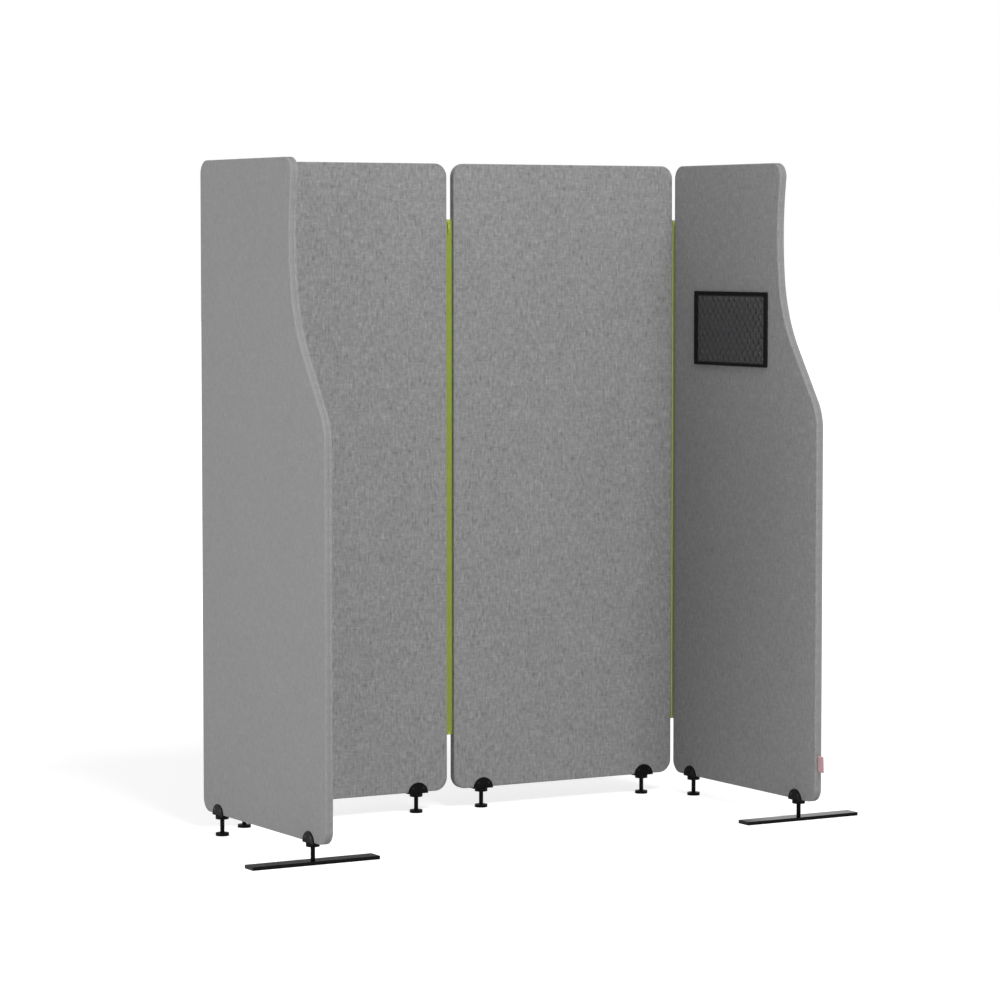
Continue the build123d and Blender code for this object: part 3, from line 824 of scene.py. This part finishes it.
def makeTab():
    settings = tabSet
    matrix, _, _ = panelMatrix("right_wing")
    low, high = (matrix.inverted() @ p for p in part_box("blank_tab"))
    small, large = Vector(map(min, low, high)), Vector(map(max, low, high))
    reach, tall = large.x - small.x, large.y - small.y
    bm = bmesh.new()
    pen = penDown(bm, 0, -settings["half"])
    segments = 10
    for _ in range(segments):
        penLine(pen, (reach - settings["half"] - settings["cloth"] / 2) / segments)
    penTurn(pen, settings["half"], 180, 6)
    for _ in range(segments):
        penLine(pen, (reach - settings["half"] - settings["cloth"] / 2) / segments)
    bmesh.ops.rotate(bm, verts=bm.verts[:], cent=(0, 0, 0), matrix=Matrix.Rotation(-pi / 2, 3, "X"))
    rows = 8
    line = bm.edges[:]
    for _ in range(rows):
        drawn = bmesh.ops.extrude_edge_only(bm, edges=line)["geom"]
        line = [g for g in drawn if isinstance(g, bmesh.types.BMEdge)]
        bmesh.ops.translate(bm, verts=[g for g in drawn if isinstance(g, bmesh.types.BMVert)],
                            vec=(0, tall / rows, 0))
    layer = bm.loops.layers.uv.new("cloth")
    for polygon in bm.faces:
        for loop in polygon.loops:
            loop[layer].uv = (loop.vert.co.x, loop.vert.co.y)
    for vert in bm.verts:
        share = vert.co.x / reach
        vert.co.z += settings["curl"] * share ** 2 * (vert.co.y / tall - 0.45)
    bmesh.ops.translate(bm, verts=bm.verts[:], vec=(small.x, small.y, (small.z + large.z) / 2))
    made = finishPiece(bm, "tab_fold", matrix, materials["tab"], "panel_right_wing", ["blank_tab"])
    thicken = made.modifiers.new("thicken", "SOLIDIFY")
    thicken.thickness = settings["cloth"]
    thicken.offset = 0
    return made


makeTab()
print("tab made")

# CAD nodes that stay get their finishes
finishes = {"frame_": "rail", "core_": "core", "bracket_": "bracket", "screws_": "screw", "stem_": "stem",
            "disc_": "disc", "bar_": "bar", "zip_slider_": "zipEnamel", "zip_pull_": "zipEnamel"}
for nodeName, nodeObject in frame["nodes"].items():
    for prefix, look in finishes.items():
        if nodeName.startswith(prefix):
            for socket in nodeObject.material_slots:
                socket.link = "OBJECT"
                socket.material = materials[look]
print("finishes laid on the frame")

# Studio: a white floor that keeps the shadow, a white surround and soft lamps
studioSet = {"floorSize": 60, "floorGlow": 0.64, "floorColour": (0.8, 0.8, 0.8), "surround": 0.32,
             "nearBy": 2.0, "farOff": 7.0}


def seenRays(tree):
    paths = tree.nodes.new("ShaderNodeLightPath")
    seen = mathNode(tree, "MAXIMUM", paths.outputs["Is Camera Ray"], paths.outputs["Is Glossy Ray"])
    return mathNode(tree, "MAXIMUM", seen, paths.outputs["Is Transmission Ray"])


def farFloor(tree):
    source = tree.nodes.new("ShaderNodeTexCoord")
    reach = addNode(tree, "ShaderNodeVectorMath", operation="LENGTH")
    tree.links.new(source.outputs["Object"], reach.inputs[0])
    return rangeOf(tree, reach.outputs["Value"], studioSet["nearBy"], studioSet["farOff"],
                   studioSet["floorGlow"], 1.0)


def makeFloor():
    bm = bmesh.new()
    bmesh.ops.create_grid(bm, x_segments=1, y_segments=1, size=studioSet["floorSize"])
    mesh = bpy.data.meshes.new("floor")
    bm.to_mesh(mesh)
    bm.free()
    floor = bpy.data.objects.new("floor", mesh)
    bpy.context.scene.collection.objects.link(floor)
    made = bpy.data.materials.new("floorPaper")
    made.use_nodes = True
    tree = made.node_tree
    tree.nodes.remove(tree.nodes["Principled BSDF"])
    matt = addNode(tree, "ShaderNodeBsdfDiffuse", {"Color": (*studioSet["floorColour"], 1)})
    glow = addNode(tree, "ShaderNodeEmission", {"Color": (1, 1, 1, 1)})
    tree.links.new(mathNode(tree, "MULTIPLY", seenRays(tree), farFloor(tree)), glow.inputs["Strength"])
    both = tree.nodes.new("ShaderNodeAddShader")
    tree.links.new(matt.outputs[0], both.inputs[0])
    tree.links.new(glow.outputs[0], both.inputs[1])
    tree.links.new(both.outputs[0], tree.nodes["Material Output"].inputs["Surface"])
    mesh.materials.append(made)


def makeWorld():
    world = bpy.data.worlds.new("surround")
    bpy.context.scene.world = world
    world.use_nodes = True
    tree = world.node_tree
    background = tree.nodes["Background"]
    background.inputs["Color"].default_value = (1, 1, 1, 1)
    strength = rangeOf(tree, seenRays(tree), 0.0, 1.0, studioSet["surround"], 1.0)
    tree.links.new(strength, background.inputs["Strength"])


lampSet = {
    "left": {"place": (-7.0, -1.0, 1.6), "aim": (0, 0, 0.9), "size": 4, "power": 212},
    "high": {"place": (0, -6.0, 7.0), "aim": (0, 0.2, 0.9), "size": 4, "power": 540},
}


def makeLamps():
    for name, lamp in lampSet.items():
        data = bpy.data.lights.new(name, "AREA")
        data.size = lamp["size"]
        data.energy = lamp["power"]
        made = bpy.data.objects.new(name, data)
        made.location = lamp["place"]
        aim = Vector(lamp["aim"]) - Vector(lamp["place"])
        made.rotation_euler = aim.to_track_quat("-Z", "Y").to_euler()
        bpy.context.scene.collection.objects.link(made)


makeFloor()
makeWorld()
makeLamps()
print("studio made")
